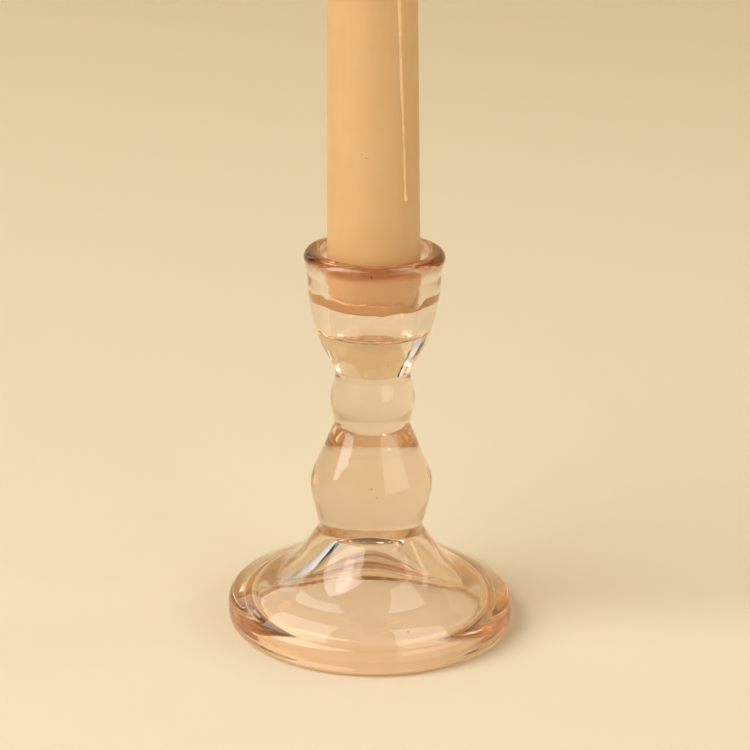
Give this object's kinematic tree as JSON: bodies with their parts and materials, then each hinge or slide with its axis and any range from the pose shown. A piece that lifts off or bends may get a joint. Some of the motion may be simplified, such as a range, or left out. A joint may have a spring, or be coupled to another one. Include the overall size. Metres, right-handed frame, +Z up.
{
  "type": "glass candlestick",
  "caption": "Short turned-profile candlestick in tinted pressed glass, with a broad hollow foot, baluster and knop stem and a tapered socket that holds a dinner candle.",
  "frame": {"origin": "centre of the foot's resting ring, on the surface the candlestick stands on", "axes": "+Z up along the glass's axis of rotation, towards the socket; -Y towards the camera; the candle leans 1 degree towards -X"},
  "size_m": [0.07, 0.07, 0.2186],
  "materials": {
    "blush_glass": "clear pressed glass with a pale blush tint, fire polished",
    "pale_wax": "paraffin wax, pale cream, satin",
    "peach_wax": "overdipped paraffin wax, peach, matte with a soft sheen",
    "cotton_wick": "braided cotton, charred above the wax",
    "drip_wax": "run of pale wax, smooth",
    "soft_wax": "wax pressed against the glass"
  },
  "bodies": {
    "holder": {"glass_candlestick": "blush_glass"},
    "candle": {"candle_core": "pale_wax", "candle_overdip": "peach_wax", "wick": "cotton_wick", "wax_drip": "drip_wax", "foot_wax": "soft_wax"}
  },
  "joints": [
    {"name": "candle_lift", "type": "slide", "parent": "holder", "child": "candle", "axis": [0, 0, 1], "range_m": [0, 0.05]}
  ]
}
